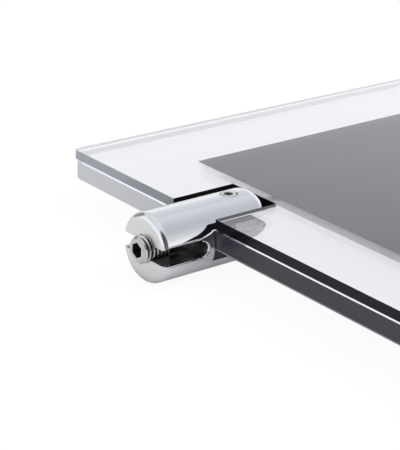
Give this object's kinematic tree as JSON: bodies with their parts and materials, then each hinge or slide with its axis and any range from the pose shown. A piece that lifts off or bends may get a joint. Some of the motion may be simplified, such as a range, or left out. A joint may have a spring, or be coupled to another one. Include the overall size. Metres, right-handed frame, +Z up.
{
  "type": "LED poster frame",
  "caption": "Clear double acrylic LED poster frame: notched lift-off cover over a light guide, carried by round cable clamps with socket screws.",
  "frame": {"origin": "middle of the frame, on the level surface that the four clamps rest on", "axes": "+X along the clamped long edges, +Y across the frame, +Z up through the front cover, with the poster facing up"},
  "size_m": [0.351, 0.303, 0.02],
  "materials": {
    "clear_acrylic": "polished clear acrylic",
    "poster_paper": "plain grey satin print",
    "diffuser_white": "matte white film",
    "reflector_white": "matte opal film",
    "cover_seal": "near-black edge strip",
    "guide_seal": "dark grey edge strip",
    "lining_black": "matte black film",
    "disc_steel": "bright steel",
    "magnet_nickel": "nickel plated",
    "board_white": "white solder mask on aluminium",
    "led_phosphor": "yellow phosphor in a white package",
    "resistor_black": "black chip resistor",
    "tinned_strip": "tinned copper foil",
    "pad_rubber": "light grey silicone rubber",
    "contact_brass": "turned brass",
    "clamp_chrome": "polished chrome",
    "screw_steel": "nickel-plated steel",
    "tip_steel": "turned steel",
    "tip_nylon": "natural nylon"
  },
  "bodies": {
    "panel": {"poster": "poster_paper", "diffuser_film": "diffuser_white", "light_guide": "clear_acrylic", "reflector_film": "reflector_white", "guide_edge_seals": "guide_seal", "guide_magnets": "magnet_nickel", "led_board_front": "board_white", "led_board_rear": "board_white", "leds_front": "led_phosphor", "leds_rear": "led_phosphor", "board_resistors": "resistor_black", "feed_strips": "tinned_strip", "cross_strips": "tinned_strip", "clamp_pads": "pad_rubber", "contact_pins": "contact_brass", "clamp_body_front_left": "clamp_chrome", "clamp_body_front_right": "clamp_chrome", "clamp_body_rear_left": "clamp_chrome", "clamp_body_rear_right": "clamp_chrome"},
    "cover": {"front_cover": "clear_acrylic", "cover_edge_seals": "cover_seal", "notch_liners": "lining_black", "cover_discs": "disc_steel"},
    "cable_tip_front_left": {"cable_tip_front_left": "tip_steel"},
    "cable_screw_front_left": {"cable_screw_front_left": "screw_steel"},
    "panel_tip_front_left": {"panel_tip_front_left": "tip_nylon"},
    "panel_screw_front_left": {"panel_screw_front_left": "screw_steel"},
    "cable_tip_front_right": {"cable_tip_front_right": "tip_steel"},
    "cable_screw_front_right": {"cable_screw_front_right": "screw_steel"},
    "panel_tip_front_right": {"panel_tip_front_right": "tip_nylon"},
    "panel_screw_front_right": {"panel_screw_front_right": "screw_steel"},
    "cable_tip_rear_left": {"cable_tip_rear_left": "tip_steel"},
    "cable_screw_rear_left": {"cable_screw_rear_left": "screw_steel"},
    "panel_tip_rear_left": {"panel_tip_rear_left": "tip_nylon"},
    "panel_screw_rear_left": {"panel_screw_rear_left": "screw_steel"},
    "cable_tip_rear_right": {"cable_tip_rear_right": "tip_steel"},
    "cable_screw_rear_right": {"cable_screw_rear_right": "screw_steel"},
    "panel_tip_rear_right": {"panel_tip_rear_right": "tip_nylon"},
    "panel_screw_rear_right": {"panel_screw_rear_right": "screw_steel"}
  },
  "joints": [
    {"name": "cover_lift", "type": "slide", "parent": "panel", "child": "cover", "axis": [0, 0, 1], "range_m": [0, 0.03]},
    {"name": "cable_feed_front_left", "type": "slide", "parent": "panel", "child": "cable_tip_front_left", "axis": [0, -1, 0], "range_m": [-0.003, 0.004]},
    {"name": "cable_turn_front_left", "type": "hinge", "parent": "cable_tip_front_left", "child": "cable_screw_front_left", "pos_m": [-0.1165, -0.149, 0.01], "axis": [0, -1, 0], "range_deg": [-865, 1153]},
    {"name": "panel_feed_front_left", "type": "slide", "parent": "panel", "child": "panel_tip_front_left", "axis": [0, 0, 1], "range_m": [0, 0.002]},
    {"name": "panel_turn_front_left", "type": "hinge", "parent": "panel_tip_front_left", "child": "panel_screw_front_left", "pos_m": [-0.1165, -0.12, 0.0193], "axis": [0, 0, 1], "range_deg": [0, 901]},
    {"name": "cable_feed_front_right", "type": "slide", "parent": "panel", "child": "cable_tip_front_right", "axis": [0, -1, 0], "range_m": [-0.003, 0.004]},
    {"name": "cable_turn_front_right", "type": "hinge", "parent": "cable_tip_front_right", "child": "cable_screw_front_right", "pos_m": [0.1165, -0.149, 0.01], "axis": [0, -1, 0], "range_deg": [-865, 1153]},
    {"name": "panel_feed_front_right", "type": "slide", "parent": "panel", "child": "panel_tip_front_right", "axis": [0, 0, 1], "range_m": [0, 0.002]},
    {"name": "panel_turn_front_right", "type": "hinge", "parent": "panel_tip_front_right", "child": "panel_screw_front_right", "pos_m": [0.1165, -0.12, 0.0193], "axis": [0, 0, 1], "range_deg": [0, 901]},
    {"name": "cable_feed_rear_left", "type": "slide", "parent": "panel", "child": "cable_tip_rear_left", "axis": [0, 1, 0], "range_m": [-0.003, 0.004]},
    {"name": "cable_turn_rear_left", "type": "hinge", "parent": "cable_tip_rear_left", "child": "cable_screw_rear_left", "pos_m": [-0.1165, 0.149, 0.01], "axis": [0, 1, 0], "range_deg": [-865, 1153]},
    {"name": "panel_feed_rear_left", "type": "slide", "parent": "panel", "child": "panel_tip_rear_left", "axis": [0, 0, 1], "range_m": [0, 0.002]},
    {"name": "panel_turn_rear_left", "type": "hinge", "parent": "panel_tip_rear_left", "child": "panel_screw_rear_left", "pos_m": [-0.1165, 0.12, 0.0193], "axis": [0, 0, 1], "range_deg": [0, 901]},
    {"name": "cable_feed_rear_right", "type": "slide", "parent": "panel", "child": "cable_tip_rear_right", "axis": [0, 1, 0], "range_m": [-0.003, 0.004]},
    {"name": "cable_turn_rear_right", "type": "hinge", "parent": "cable_tip_rear_right", "child": "cable_screw_rear_right", "pos_m": [0.1165, 0.149, 0.01], "axis": [0, 1, 0], "range_deg": [-865, 1153]},
    {"name": "panel_feed_rear_right", "type": "slide", "parent": "panel", "child": "panel_tip_rear_right", "axis": [0, 0, 1], "range_m": [0, 0.002]},
    {"name": "panel_turn_rear_right", "type": "hinge", "parent": "panel_tip_rear_right", "child": "panel_screw_rear_right", "pos_m": [0.1165, 0.12, 0.0193], "axis": [0, 0, 1], "range_deg": [0, 901]}
  ],
  "couplings": [
    {"joint": "cable_turn_front_left", "follows": "cable_feed_front_left", "rad_per_m": 5026.5},
    {"joint": "panel_turn_front_left", "follows": "panel_feed_front_left", "rad_per_m": 7854},
    {"joint": "cable_turn_front_right", "follows": "cable_feed_front_right", "rad_per_m": 5026.5},
    {"joint": "panel_turn_front_right", "follows": "panel_feed_front_right", "rad_per_m": 7854},
    {"joint": "cable_turn_rear_left", "follows": "cable_feed_rear_left", "rad_per_m": 5026.5},
    {"joint": "panel_turn_rear_left", "follows": "panel_feed_rear_left", "rad_per_m": 7854},
    {"joint": "cable_turn_rear_right", "follows": "cable_feed_rear_right", "rad_per_m": 5026.5},
    {"joint": "panel_turn_rear_right", "follows": "panel_feed_rear_right", "rad_per_m": 7854}
  ]
}
